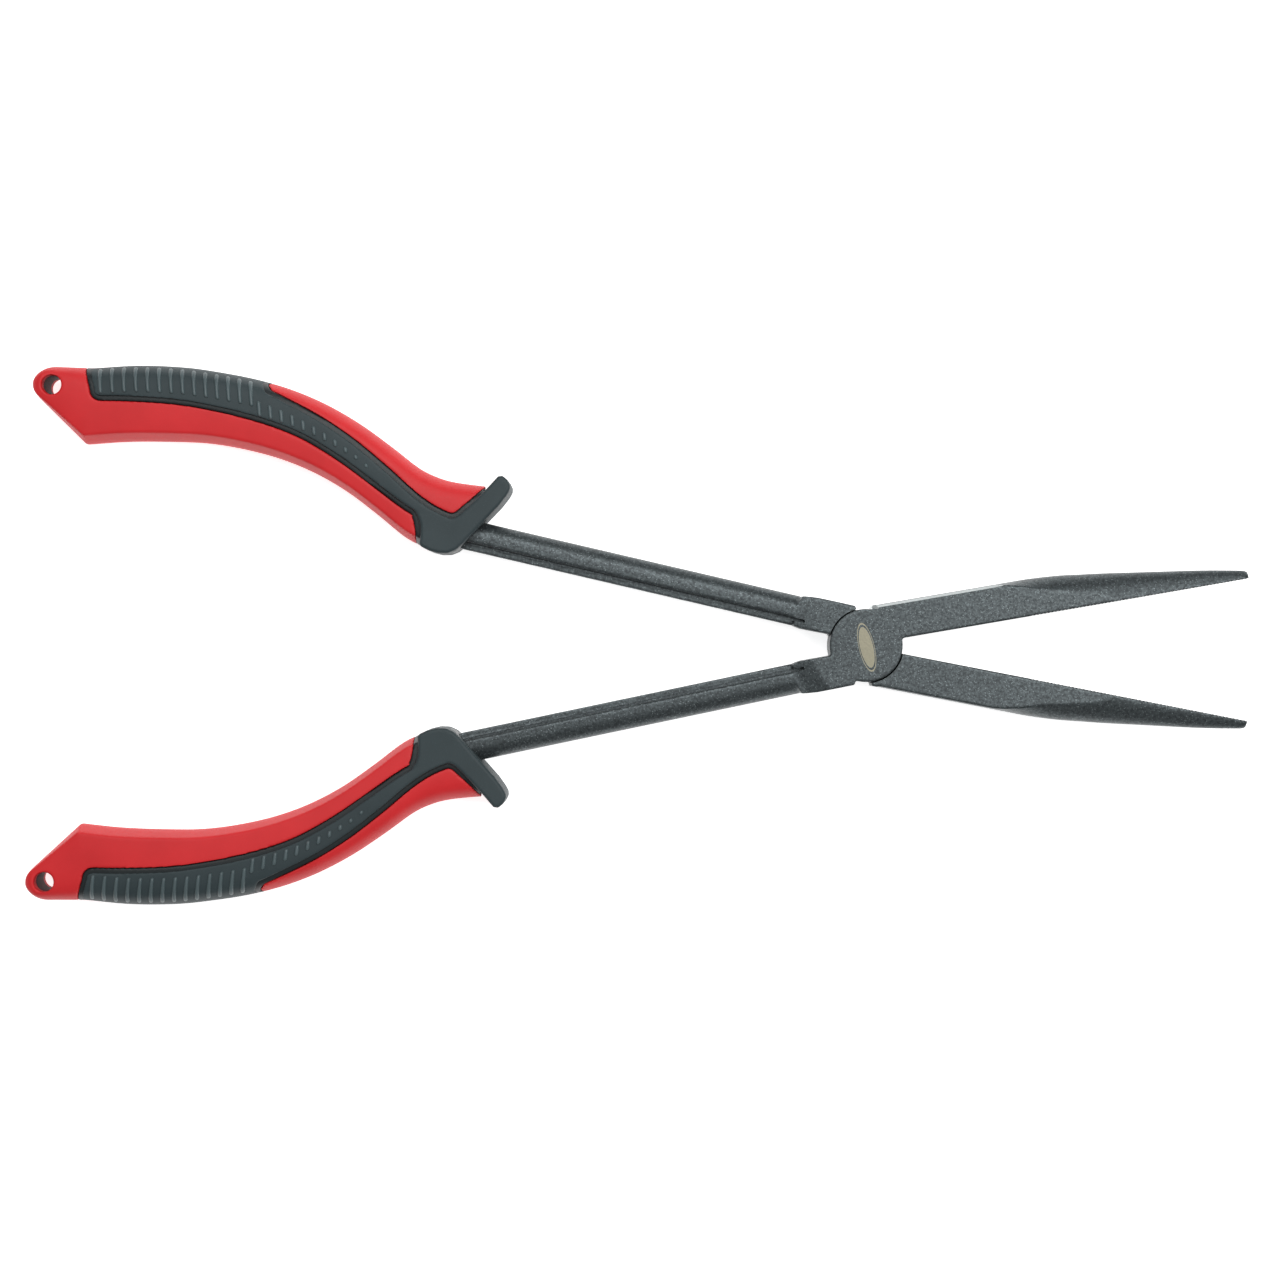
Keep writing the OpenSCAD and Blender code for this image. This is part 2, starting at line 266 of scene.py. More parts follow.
def turned(name: str, profile: list[Point], sides: int = 96) -> bpy.types.Object:
    """Extrudes a circle up the Z axis, resized at each step, as on a lathe.

    Args:
        name: The new object's name.
        profile: Pairs of radius and height, from the bottom up.
        sides: How many sides the circle has.

    Returns:
        The solid.
    """
    solid = new_outline(name, [(x, y, profile[0][1]) for x, y in
                               arc((0, 0), profile[0][0], 0, 360, sides)[:-1]])
    for (r0, z0), (r1, z1) in zip(profile, profile[1:]):
        bpy.ops.mesh.extrude_region_move(TRANSFORM_OT_translate={"value": (0, 0, z1 - z0)})
        bpy.ops.transform.resize(value=(r1 / r0, r1 / r0, 1), center_override=(0, 0, z1))
    return close_up(solid)


def copy_of(source: bpy.types.Object, name: str) -> bpy.types.Object:
    """A copy of an object with its own mesh.

    Args:
        source: The object to copy.
        name: The copy's name.

    Returns:
        The copy.
    """
    select_only(source)
    bpy.ops.object.duplicate(linked=False)
    twin = bpy.context.object
    twin.name = name
    return twin


def joined(name: str, *objects: bpy.types.Object) -> bpy.types.Object:
    """Several objects made one, with their closed skins kept apart.

    Args:
        name: The joined object's name.
        objects: The objects; the first one takes in the rest.

    Returns:
        The joined object.
    """
    select_only(*objects)
    bpy.ops.object.join()
    objects[0].name = name
    return objects[0]


def apply_modifier(item: bpy.types.Object, kind: str, **settings: object) -> None:
    """Adds a modifier with its settings and applies it at once.

    Args:
        item: The object.
        kind: The modifier's type.
        settings: Its properties by name.
    """
    select_only(item)
    modifier = item.modifiers.new("step", kind)
    for key, value in settings.items():
        setattr(modifier, key, value)
    bpy.ops.object.modifier_apply(modifier=modifier.name)


def combine(item: bpy.types.Object, other: bpy.types.Object, how: Join) -> bpy.types.Object:
    """Acts on one solid with another.

    Args:
        item: The solid that is changed.
        other: The solid that acts on it.
        how: Whether it is cut away, fused on, or only what both share is left.

    Returns:
        The changed solid.
    """
    apply_modifier(item, "BOOLEAN", operation=how.value, object=other, solver="MANIFOLD")
    bpy.data.objects.remove(other)
    return item


def soften(item: bpy.types.Object, grain: float, rounds: int) -> bpy.types.Object:
    """Melts a solid's parts into one skin with softly rounded edges.

    Args:
        item: The solid.
        grain: The size of the new skin's faces in millimetres.
        rounds: How often the skin is smoothed.

    Returns:
        The same solid.
    """
    apply_modifier(item, "REMESH", mode="VOXEL", voxel_size=grain)
    if rounds:
        apply_modifier(item, "SMOOTH", factor=0.5, iterations=rounds)
    return item


def settle(item: bpy.types.Object, place: Matrix, sharp: float = 35) -> bpy.types.Object:
    """Moves a finished piece to its place and leaves its object at the origin.

    Args:
        item: The piece.
        place: The move, which also turns millimetres into metres.
        sharp: The angle in degrees past which an edge stays crisp.

    Returns:
        The piece.
    """
    select_only(item)
    item.matrix_world = place
    bpy.ops.object.transform_apply(location=True, rotation=True, scale=True)
    bpy.ops.object.shade_smooth_by_angle(angle=math.radians(sharp))
    return item


# ---------------------------------------------------------------- finishes
def linear(code: str) -> tuple[float, float, float, float]:
    """Turns an sRGB hex colour into linear light."""
    parts = [int(code[k:k + 2], 16) / 255 for k in (1, 3, 5)]
    return (*((c / 12.92 if c <= 0.04045 else ((c + 0.055) / 1.055) ** 2.4) for c in parts), 1.0)


def add_node(tree: bpy.types.NodeTree, kind: str, settings: dict[str, object] | None = None,
             **inputs: object) -> bpy.types.Node:
    """Adds a node with its settings and links.

    Args:
        tree: The node tree.
        kind: The node's type.
        settings: Properties of the node.
        inputs: A value or another node's output for each named input. An underscore stands
            for a space, and i0, i1 and so on name inputs by number.

    Returns:
        The node.
    """
    node = tree.nodes.new(kind)
    for key, value in (settings or {}).items():
        setattr(node, key, value)
    for key, value in inputs.items():
        socket = (node.inputs[int(key[1:])] if key[0] == "i" and key[1:].isdigit()
                  else node.inputs[key.replace("_", " ")])
        if isinstance(value, bpy.types.NodeSocket):
            tree.links.new(value, socket)
        else:
            socket.default_value = value
    return node


def new_material(name: str) -> tuple[bpy.types.Material, bpy.types.NodeTree]:
    """An empty node material and its tree.

    Args:
        name: The material's name.

    Returns:
        The material and its tree.
    """
    material = bpy.data.materials.new(name)
    material.use_nodes = True
    material.node_tree.nodes.clear()
    return material, material.node_tree


def millimetres(tree: bpy.types.NodeTree) -> bpy.types.NodeSocket:
    """Object coordinates in millimetres, so that a pattern's scale is one over its size.

    Args:
        tree: The node tree.

    Returns:
        The coordinates' output.
    """
    place = add_node(tree, "ShaderNodeTexCoord").outputs["Object"]
    return add_node(tree, "ShaderNodeMapping", Vector=place,
                    Scale=(1 / MM, 1 / MM, 1 / MM)).outputs["Vector"]


def blend_colour(tree: bpy.types.NodeTree, factor: object, first: object,
                 second: object) -> bpy.types.NodeSocket:
    """Mixes two colours.

    Args:
        tree: The node tree.
        factor: How much of the second colour shows.
        first: A colour or an output.
        second: A colour or an output.

    Returns:
        The mixed colour's output.
    """
    mix = add_node(tree, "ShaderNodeMix", {"data_type": "RGBA"}, Factor=factor, i6=first, i7=second)
    return mix.outputs[2]


def spread(tree: bpy.types.NodeTree, value: bpy.types.NodeSocket, low: float, high: float,
           to_low: float = 0.0, to_high: float = 1.0) -> bpy.types.NodeSocket:
    """Stretches a value from one range to another and clamps it.

    Args:
        tree: The node tree.
        value: The value's output.
        low: Where it starts.
        high: Where it ends.
        to_low: What the start becomes.
        to_high: What the end becomes.

    Returns:
        The stretched value's output.
    """
    node = add_node(tree, "ShaderNodeMapRange", Value=value, From_Min=low, From_Max=high,
                    To_Min=to_low, To_Max=to_high)
    return node.outputs["Result"]


def finish_surface(tree: bpy.types.NodeTree, **inputs: object) -> None:
    """Adds the surface shader and the output."""
    shader = add_node(tree, "ShaderNodeBsdfPrincipled", None, **inputs)
    add_node(tree, "ShaderNodeOutputMaterial", Surface=shader.outputs["BSDF"])


@dataclass(frozen=True)
class PowderCoat:
    """Textured powder coat on forged steel: a dark grey skin with fine sparkling grains."""

    name: str = "coated_forged_steel"
    base: str = "#484F51"
    dark: str = "#2D3234"
    fleck: str = "#7F898B"
    grain: float = 0.27  # mm; the real grains are about 0.15 mm, drawn coarser so that they show
    marked: bool = False

    def make(self) -> bpy.types.Material:
        """Builds the material.

        Returns:
            The material.
        """
        material, tree = new_material(self.name)
        place = millimetres(tree)
        mottle = add_node(tree, "ShaderNodeTexNoise", Vector=place, Scale=1 / (2.2 * self.grain),
                          Detail=4.0, Roughness=0.7).outputs["Fac"]
        cells = add_node(tree, "ShaderNodeTexVoronoi", Vector=place, Scale=1 / self.grain)
        chance = add_node(tree, "ShaderNodeSeparateColor", Color=cells.outputs["Color"])
        sparkle = spread(tree, chance.outputs[0], 0.7, 1.0)
        core = spread(tree, cells.outputs["Distance"], 0.55, 0.1)
        bright = add_node(tree, "ShaderNodeMath", {"operation": "MULTIPLY"}, i0=sparkle, i1=core)
        pits = spread(tree, mottle, 0.62, 0.38)
        ground = blend_colour(tree, pits, linear(self.base), linear(self.dark))
        colour = blend_colour(tree, bright.outputs[0], ground, linear(self.fleck))
        height = add_node(tree, "ShaderNodeMath", {"operation": "ADD"}, i0=bright.outputs[0],
                          i1=mottle)
        bump = add_node(tree, "ShaderNodeBump", Strength=0.4, Distance=0.05 * MM,
                        Height=height.outputs[0])
        rough = spread(tree, mottle, 0.3, 0.7, 0.48, 0.34)
        metal: object = 0.6
        if self.marked:
            mask = self.mark(tree)
            tint = blend_colour(tree, mottle, linear("#767364"), linear("#86826F"))
            colour = blend_colour(tree, mask, colour, tint)
        finish_surface(tree, Base_Color=colour, Metallic=metal, Roughness=rough,
                       Normal=bump.outputs["Normal"])
        return material

    def mark(self, tree: bpy.types.NodeTree) -> bpy.types.NodeSocket:
        """A plain etched oval over the pivot, with a thin line left standing inside its edge.

        Args:
            tree: The node tree.

        Returns:
            An output that is 1 inside the oval and 0 elsewhere.
        """
        place = add_node(tree, "ShaderNodeTexCoord").outputs["Object"]
        high = add_node(tree, "ShaderNodeSeparateXYZ", Vector=place).outputs["Z"]
        flat = add_node(tree, "ShaderNodeMapping", Vector=place, Scale=(1, 1, 0))
        oval = add_node(tree, "ShaderNodeMapping", {"vector_type": "TEXTURE"},
                        Vector=flat.outputs["Vector"], Location=(0.1 * MM, -0.4 * MM, 0),
                        Rotation=(0, 0, math.radians(14)), Scale=(1.75 * MM, 5.6 * MM, 1))
        away = add_node(tree, "ShaderNodeVectorMath", {"operation": "LENGTH"},
                        i0=oval.outputs["Vector"]).outputs["Value"]
        inside = spread(tree, away, 1.0, 0.97)
        line = add_node(tree, "ShaderNodeMath", {"operation": "COMPARE"}, i0=away, i1=0.87, i2=0.05)
        panel = add_node(tree, "ShaderNodeMath", {"operation": "SUBTRACT"}, i0=inside,
                         i1=line.outputs[0])
        top = add_node(tree, "ShaderNodeMath", {"operation": "GREATER_THAN"}, i0=high,
                       i1=(2 * HALF_T - 0.15) * MM)
        shown = add_node(tree, "ShaderNodeMath", {"operation": "MULTIPLY", "use_clamp": True},
                         i0=panel.outputs[0], i1=top.outputs[0])
        return shown.outputs[0]


@dataclass(frozen=True)
class Moulded:
    """A moulded plastic or rubber with a fine, spark-eroded grain and slightly uneven colour."""

    name: str
    base: str
    shade: str
    roughness: float
    grain: float = 0.3  # mm; a moulded grain is about 0.1 mm, drawn coarser so that it shows
    bump: float = 0.25
    gloss: float = 0.35
    glow: float = 0.0
    speck: str = ""

    def make(self) -> bpy.types.Material:
        """Builds the material.

        Returns:
            The material.
        """
        material, tree = new_material(self.name)
        place = millimetres(tree)
        cloud = add_node(tree, "ShaderNodeTexNoise", Vector=place, Scale=1 / 9, Detail=3.0,
                         Roughness=0.6).outputs["Fac"]
        fine = add_node(tree, "ShaderNodeTexNoise", Vector=place, Scale=1 / self.grain, Detail=2.0,
                        Roughness=0.6).outputs["Fac"]
        both = add_node(tree, "ShaderNodeMath", {"operation": "MULTIPLY_ADD"}, i0=fine, i1=0.4,
                        i2=cloud).outputs[0]
        colour = blend_colour(tree, spread(tree, both, 0.45, 0.95), linear(self.shade),
                              linear(self.base))
        if self.speck:
            colour = blend_colour(tree, spread(tree, fine, 0.62, 0.8, 0.0, 0.4), colour,
                                  linear(self.speck))
        rough = spread(tree, fine, 0.3, 0.7, self.roughness - 0.05, self.roughness + 0.06)
        bump = add_node(tree, "ShaderNodeBump", Strength=self.bump, Distance=0.05 * MM, Height=fine)
        finish_surface(tree, Base_Color=colour, Roughness=rough, Specular_IOR_Level=self.gloss,
                       Emission_Strength=self.glow,
                       Emission_Color=linear("#FFFFFF"), Normal=bump.outputs["Normal"])
        return material


@dataclass(frozen=True)
class GroundSteel:
    """Bare steel where a grinding wheel has passed: bright, with fine lines along the jaw."""

    name: str = "bare_ground_steel"
    base: str = "#D2D8D8"
    shade: str = "#B3B9B9"

    def make(self) -> bpy.types.Material:
        """Builds the material.

        Returns:
            The material.
        """
        material, tree = new_material(self.name)
        place = millimetres(tree)
        along = add_node(tree, "ShaderNodeMapping", Vector=place, Scale=(0.15, 3, 3))
        lines = add_node(tree, "ShaderNodeTexNoise", Vector=along.outputs["Vector"], Scale=1.0,
                         Detail=3.0).outputs["Fac"]
        colour = blend_colour(tree, lines, linear(self.base), linear(self.shade))
        rough = spread(tree, lines, 0.3, 0.7, 0.3, 0.45)
        bump = add_node(tree, "ShaderNodeBump", Strength=0.2, Distance=0.02 * MM, Height=lines)
        finish_surface(tree, Base_Color=colour, Metallic=0.7, Roughness=rough,
                       Normal=bump.outputs["Normal"])
        return material


class Finishes:
    """The finishes of the pliers, each made once."""

    def __init__(self) -> None:
        """Makes every material."""
        self.steel = PowderCoat().make()
        self.marked_steel = PowderCoat(name="coated_steel_with_oval", marked=True).make()
        self.bare = GroundSteel().make()
        # glass-filled nylon, moulded: even red, softly matt
        self.red = Moulded("red_moulded_nylon", "#CB2126", "#C01C21", 0.55, bump=0.2).make()
        # thermoplastic rubber, moulded in a textured tool: dry and matt
        self.grey = Moulded("grey_moulded_rubber", "#2D393C", "#263235", 0.58, bump=0.35,
                            speck="#455255").make()
        # the same rubber on the sunk rim, smoother where the tool was polished; its darker colour
        # is painted shade of the sunk band
        self.rim = Moulded("grey_rubber_rim_painted_shade", "#1B2224", "#161C1E", 0.42, bump=0.1).make()
        # and on the ribs: a paler colour, a painted highlight of the raised ribs, and a little
        # shinier
        self.rib = Moulded("grey_rubber_ribs_painted_highlight", "#4A585B", "#3F4C4F", 0.45, bump=0.2,
                           gloss=0.5).make()
        # dark nylon core, seen only inside the lanyard hole
        self.core = Moulded("dark_nylon_core", "#151011", "#0F0B0C", 0.6).make()


def dress(piece: bpy.types.Object, *materials: bpy.types.Material) -> None:
    """Gives a piece its materials, the first in its first slot.

    Args:
        piece: The piece.
        materials: The materials, in the order of their slots.
    """
    piece.data.materials.clear()
    for material in materials:
        piece.data.materials.append(material)


# ---------------------------------------------------------------- the steel half
@dataclass
class ForgedHalf:
    """A forged half: jaw, lap joint, shank and tang."""

    relief: float = 0.25
    jaw_len: float = 86.6
    lap_r: float = 8.1
    room_r: float = 8.35
    lap_gap: float = 0.06
    boss_r: float = 12.3
    ramp: float = 4.2
    root_end: float = 16.7
    shank_w: float = 6.8
    ledge_w: float = 1.7
    ledge_z: float = 1.8
    bar_r: float = 3.2
    slope: float = 2.1
    root_swell: float = 1.1  # the shank is a little thicker where it leaves the boss
    reach: float = 91.5
    ground_line: float = 12.25  # Y plus Z on the ground edge
    chamfer_end: float = 36.0
    notch: float = 1.3
    shoulder_angle: float = 71.0
    heel_angle: float = 244.0
    tooth_pitch: float = 0.8
    serrated: float = 50.0
    tooth_h: float = 0.25
    rivet_r: float = 2.5
    head_r: float = 3.6
    head_h: float = 1.1
    grain: float = 0.25
    # along the jaw: depth from the closing line, and how high the back's curve would rise
    depth: list[Point] = field(default_factory=lambda: [
        (0, 8.5), (34, 8.5), (38, 8.5), (45, 8.1), (50, 7.5), (55, 6.9), (60, 6.2), (65, 5.5),
        (70, 4.8), (75, 4.1), (80, 3.3), (85, 2.4), (86.6, 2.1)])
    rise: list[Point] = field(default_factory=lambda: [
        (0, 20), (24, 20), (29.5, 20), (33, 11), (37, 7.2), (40, 6.0), (45, 5.3), (50, 4.9),
        (55, 4.5), (60, 4.0), (70, 3.1), (80, 2.1), (86.6, 1.5)])

    def shank_top(self, x: float) -> float:
        """The Y of the shank's inner edge at a place along it."""
        return -0.95 + (x + self.lap_r) * math.tan(math.radians(self.slope))

    def jaw(self) -> bpy.types.Object:
        """The jaw: a half oval that grows narrower than the flat blank towards its tip.

        Returns:
            The jaw.
        """
        ring = arc((0, 0), 1, 0, 360, 72)[:-1]
        places = [3.9, 12, 20, 26, *steps(29, 47, 12), *steps(49, self.jaw_len - 1.2, 12),
                  self.jaw_len - 0.5, self.jaw_len]
        blunt = [1.0] * (len(places) - 2) + [0.97, 0.85]
        stations = [(x, 0, curve(self.depth, x) * k, curve(self.rise, x) * k)
                    for x, k in zip(places, blunt)]
        solid = loft("jaw", ring, stations)
        blank = prism("jaw_blank", [(0, self.relief), (90, self.relief), (90, 12), (0, 12)],
                      -HALF_T, HALF_T)
        return combine(solid, blank, Join.COMMON)

    def chamfer_cutter(self) -> bpy.types.Object:
        """The wedge that grinds the jaw's outer top edge, at 45 degrees.

        Returns:
            The wedge.
        """
        high = self.ground_line - HALF_T
        return loft("chamfer", [(high - 1, HALF_T + 1), (high + 2, HALF_T + 1),
                                (high + 2, HALF_T - 2)],
                    [(1, 0, 1, 1), (self.chamfer_end, 0, 1, 1)])

    def roots(self) -> bpy.types.Object:
        """The blocks by which the jaw and the shank meet the lap.

        Returns:
            Both roots as one object.
        """
        shoulder = math.radians(self.shoulder_angle)
        back = self.relief + 8.3
        jaw_root = prism("jaw_root", [
            ((self.lap_r - 1.5) * math.cos(shoulder), (self.lap_r - 1.5) * math.sin(shoulder)),
            (back / math.tan(shoulder), back), (4.2, back), (4.2, self.relief), (1, self.relief)],
            -HALF_T, HALF_T)
        heel = math.radians(self.heel_angle)
        end = -self.root_end
        outline = [(-1, -0.95), (end + 1.8, -0.9), (end, self.shank_top(end)),
                   (end, self.shank_top(end) - self.shank_w), (-self.boss_r, -8.4),
                   ((self.lap_r + 1) * math.cos(heel), (self.lap_r + 1) * math.sin(heel)),
                   ((self.lap_r - 1.5) * math.cos(heel), (self.lap_r - 1.5) * math.sin(heel))]
        shank_root = prism("shank_root", outline, -HALF_T, HALF_T)
        wide, low = self.root_end + 1, self.bar_r * self.root_swell
        boss = turned("boss", [(self.boss_r, -HALF_T), (self.boss_r + self.ramp, -low),
                               (wide, -low), (wide, low),
                               (self.boss_r + self.ramp, low), (self.boss_r, HALF_T)])
        combine(shank_root, boss, Join.COMMON)
        return combine(jaw_root, shank_root, Join.FUSE)

    def shank(self, name: str = "shank", grow: float = 0.0) -> bpy.types.Object:
        """The shank: a bar with a round outer side and a thin ledge along its inner side.

        Args:
            name: The new object's name.
            grow: How far its ledge stands out, to make room for it in a grip.

        Returns:
            The shank.
        """
        r, out = self.bar_r + grow, self.ledge_w
        half = [(grow, self.ledge_z + grow), (grow - out, self.ledge_z + grow),
                (grow - out, r - 0.35), (grow - out - 0.35, r), (-out - 1.9, r)]
        round_side = arc((self.bar_r - self.shank_w, 0), r, 96, 264, 20)
        section = [*half, *round_side, *[(a, -b) for a, b in reversed(half)]]
        start, end = -self.root_end + 0.6, -self.reach - 5
        thin = start - 14
        return loft(name, section, [(start, self.shank_top(start), 1, self.root_swell),
                                    (thin, self.shank_top(thin), 1, 1),
                                    (end, self.shank_top(end), 1, 1)])

    def notch_cutter(self) -> bpy.types.Object:
        """The wedge that grinds a facet on the top edge of the jaw's shoulder.

        Returns:
            The wedge.
        """
        low = HALF_T - self.notch
        wedge = loft("notch", [(-self.notch - 0.6, HALF_T + 0.6), (0.6, HALF_T + 0.6),
                               (0.6, low - 0.6)], [(self.room_r, 0, 1, 1), (12, 0, 1, 1)])
        wedge.rotation_euler = (0, 0, math.radians(self.shoulder_angle))
        return wedge

    def grooves(self) -> bpy.types.Object:
        """The slots where the ledge meets the bar, on both faces, with a round front end.

        Returns:
            The cutters of both slots, as one object.
        """
        start, end = -14.6, -self.reach - 5
        parts = []
        for face in (-1, 1):
            low, high = sorted((face * (self.ledge_z - 0.35), face * (self.bar_r + 2)))
            edge = [self.shank_top(x) - self.ledge_w for x in (start, end)]
            parts.append(prism("groove", [
                (end, edge[1] - 0.1), (start, edge[0] - 0.1),
                *arc((start, edge[0] + 0.25), 0.35, -70, 70, 6), (start - 5, edge[0] + 0.45),
                (end, edge[1] + 0.35)], low, high))
        return joined("grooves", *parts)

    def tang(self, grip: "GripShape", grow: float = 0.0) -> bpy.types.Object:
        """The flat tang that runs on inside the grip, narrowing to its end.

        Args:
            grip: The grip that it runs in.
            grow: How far each side stands out, to make room for it in the grip.

        Returns:
            The tang.
        """
        shares = steps(0.035, 0.7, 14)
        wide = [2.5 * (1 - 0.3 * s / 0.7) + grow for s in shares]

        def middle(share: float) -> float:
            """The tang's middle, which bends over from the shank to the grip's spine.

            Args:
                share: The place, as a share of the grip's length.

            Returns:
                The Y of the middle.
            """
            t = min(max((share - 0.03) / 0.14, 0), 1)
            t = t * t * (3 - 2 * t)
            return ((1 - t) * (self.shank_top(grip.x_at(share)) - self.shank_w / 2)
                    + t * grip.spine(share))

        upper = [(grip.x_at(s), middle(s) + w) for s, w in zip(shares, wide)]
        lower = [(grip.x_at(s), middle(s) - w) for s, w in zip(shares, wide)]
        return prism("tang", [*upper, *reversed(lower)], -1.8 - grow, 1.8 + grow)

    def teeth(self) -> bpy.types.Object:
        """The cutter for the serrations across the gripping face.

        Returns:
            The cutter.
        """
        count = int(self.serrated / self.tooth_pitch)
        first = self.jaw_len - count * self.tooth_pitch
        foot = self.relief - 0.05
        row = [p for k in range(count) for p in
               ((first + k * self.tooth_pitch, foot),
                (first + (k + 0.5) * self.tooth_pitch, self.relief + self.tooth_h))]
        return prism("teeth", [*row, (self.jaw_len, foot), (self.jaw_len, -1), (first, -1)],
                     -HALF_T - 1, HALF_T + 1)

    def build(self, grip: "GripShape") -> bpy.types.Object:
        """Forges the half: one skin, then the joint, the holes and the teeth cut into it.

        Args:
            grip: The grip that its tang runs in.

        Returns:
            The half, closed and in millimetres.
        """
        solid = self.jaw()
        combine(solid, self.roots(), Join.FUSE)
        combine(solid, turned("lap", [(self.lap_r, -1), (self.lap_r, HALF_T)]), Join.FUSE)
        combine(solid, self.shank(), Join.FUSE)
        soften(solid, self.grain, 4)
        room = turned("lap_room", [(self.room_r, -HALF_T - 1), (self.room_r, self.lap_gap / 2)])
        combine(solid, room, Join.CUT)
        combine(solid, self.grooves(), Join.CUT)
        combine(solid, self.chamfer_cutter(), Join.CUT)
        combine(solid, self.notch_cutter(), Join.CUT)
        combine(solid, self.tang(grip), Join.FUSE)
        combine(solid, self.teeth(), Join.CUT)
        hole = turned("rivet_hole", [(self.rivet_r, -1), (self.rivet_r, HALF_T - self.head_h),
                                     (self.head_r, HALF_T), (self.head_r, HALF_T + 1)])
        return combine(solid, hole, Join.CUT)

    def bare_edges(self, piece: bpy.types.Object, slot: int) -> None:
        """Gives the ground strip along the jaw's outer top edge its own finish.

        Args:
            piece: The half, still in the closed frame.
            slot: The material slot of the bare steel.
        """
        for face in piece.data.polygons:
            x, y, z = face.center
            strip = (x > 1 and y > 6 and abs(face.normal.y - 0.707) < 0.03
                     and abs(face.normal.z - 0.707) < 0.03 and abs(y + z - self.ground_line) < 0.01)
            wall = face.normal.x < -0.55 and 1.5 < x < 3.8 and y > 7.6 and z > -4.2
            if strip or wall:
                face.material_index = slot


# ---------------------------------------------------------------- the grip's shape
@dataclass
class GripShape:
    """The outline and the section that the grip's shell and overmould share."""

    reach: float = 91.5
    length: float = 100.3
    width: float = 15.4
    thickness: float = 13.0
    guard_z: float = 7.2
    skin: float = 1.9
    core_inset: float = 3.6
    core_z: float = 3.6
    cant: float = 0.45
    tail_r: float = 4.4
    hole_r: float = 2.1
    knee: float = 0.865
    lip: float = 0.88
    waist: list[Point] = field(default_factory=lambda: [
        (-0.05, 1.03), (0.13, 1.02), (0.28, 0.995), (0.38, 1), (0.5, 1.02), (0.6, 1.04),
        (0.68, 1.09), (0.78, 1.12), (0.86, 1.13), (1, 1.13)])
    drop: list[Point] = field(default_factory=lambda: [
        (-0.05, 3.7), (0, 3.2), (0.06, 2.95), (0.1, 3.5), (0.135, 4.6), (0.2, 7.95), (0.28, 11.7),
        (0.36, 14.4), (0.44, 16), (0.52, 16.6), (0.6, 16.45), (0.68, 15.6), (0.78, 13.8),
        (0.87, 11.4), (1, 7.8)])
    swell: list[Point] = field(default_factory=lambda: [
        (-0.05, 0.97), (0.15, 0.98), (0.4, 1), (0.75, 1), (0.9, 0.96), (1, 0.92)])
    strip_in_at: list[Point] = field(default_factory=lambda: [
        (-0.05, 0.3), (0.13, 0.32), (0.18, 0.36), (0.25, 0.37), (0.33, 0.32), (0.4, 0.25),
        (0.48, 0.21), (0.58, 0.15), (0.68, 0.06), (0.78, 0), (0.9, -0.12)])
    strip_out_at: list[Point] = field(default_factory=lambda: [
        (0.04, -0.1), (0.085, -0.22), (0.135, -0.35), (0.23, -0.45), (0.33, -0.55), (0.43, -0.67),
        (0.485, -0.79)])
    strip_front: float = 0.04
    wrap_front: float = 0.493
    wrap_back: float = 0.872
    wrap_slant: float = 2.8
    corner: float = 2.5
    # quarter of the section, from its side to its top: inner side with a steep band, outer round
    inner_quarter: list[Point] = field(default_factory=lambda: [
        (1, 0), (0.995, 0.15), (0.965, 0.35), (0.915, 0.56), (0.86, 0.77), (0.82, 0.905),
        (0.8, 0.935), (0.76, 0.95), (0.5, 0.98), (0.25, 0.995), (0, 1)])
    outer_quarter: list[Point] = field(default_factory=lambda: [
        (1, 0), (0.99, 0.2), (0.955, 0.4), (0.9, 0.57), (0.82, 0.73), (0.72, 0.85),
        (0.6, 0.92), (0.45, 0.965), (0.25, 0.99), (0, 1)])

    def x_at(self, share: float) -> float:
        """The X at a share of the grip's length."""
        return -self.reach - share * self.length

    def share_at(self, x: float) -> float:
        """The share of the grip's length at an X."""
        return (-x - self.reach) / self.length

    @property
    def datum(self) -> Point:
        """The middle of the shank at the grip's front."""
        return (-self.reach, -0.95 + (8.1 - self.reach) * math.tan(math.radians(2.1)) - 3.4)

    @property
    def lanyard(self) -> Point:
        """The centre of the lanyard hole."""
        return (self.x_at(1) + self.tail_r, self.datum[1] - 14.1)

    def spine(self, share: float) -> float:
        """The Y of the grip's middle line."""
        return self.datum[1] - curve(self.drop, share)

    def half_width(self, share: float) -> float:
        """Half the grip's width."""
        return self.width / 2 * curve(self.waist, share)

    def tangent(self, point: Point, side: int) -> Point:
        """Where a straight line from a point touches the tail's round end.

        Args:
            point: Where the line starts.
            side: +1 or -1, for which of the two lines is meant.

        Returns:
            The touching point.
        """
        dx, dy = point[0] - self.lanyard[0], point[1] - self.lanyard[1]
        a = math.atan2(dy, dx) + side * math.acos(self.tail_r / math.hypot(dx, dy))
        return (self.lanyard[0] + self.tail_r * math.cos(a),
                self.lanyard[1] + self.tail_r * math.sin(a))

    def edge(self, x: float, side: int) -> float:
        """The outline's Y.

        Args:
            x: The place along the grip.
            side: +1 for the inner side and -1 for the outer side.

        Returns:
            The Y of that side.
        """
        share = self.knee if side > 0 else self.lip
        corner = (self.x_at(share), self.spine(share) + side * self.half_width(share))
        touch = self.tangent(corner, side)
        if x < touch[0]:
            rise = max(self.tail_r**2 - (x - self.lanyard[0])**2, 0.01)
            return self.lanyard[1] + side * math.sqrt(rise)
        if x < corner[0]:
            return touch[1] + (corner[1] - touch[1]) * (x - touch[0]) / (corner[0] - touch[0])
        s = self.share_at(x)
        return self.spine(s) + side * self.half_width(s)

    def height(self, x: float, middle: float) -> float:
        """Half the grip's thickness where half its width is given."""
        return (self.thickness / 2 * curve(self.swell, self.share_at(x))
                * min(1, 0.75 + middle / 14))

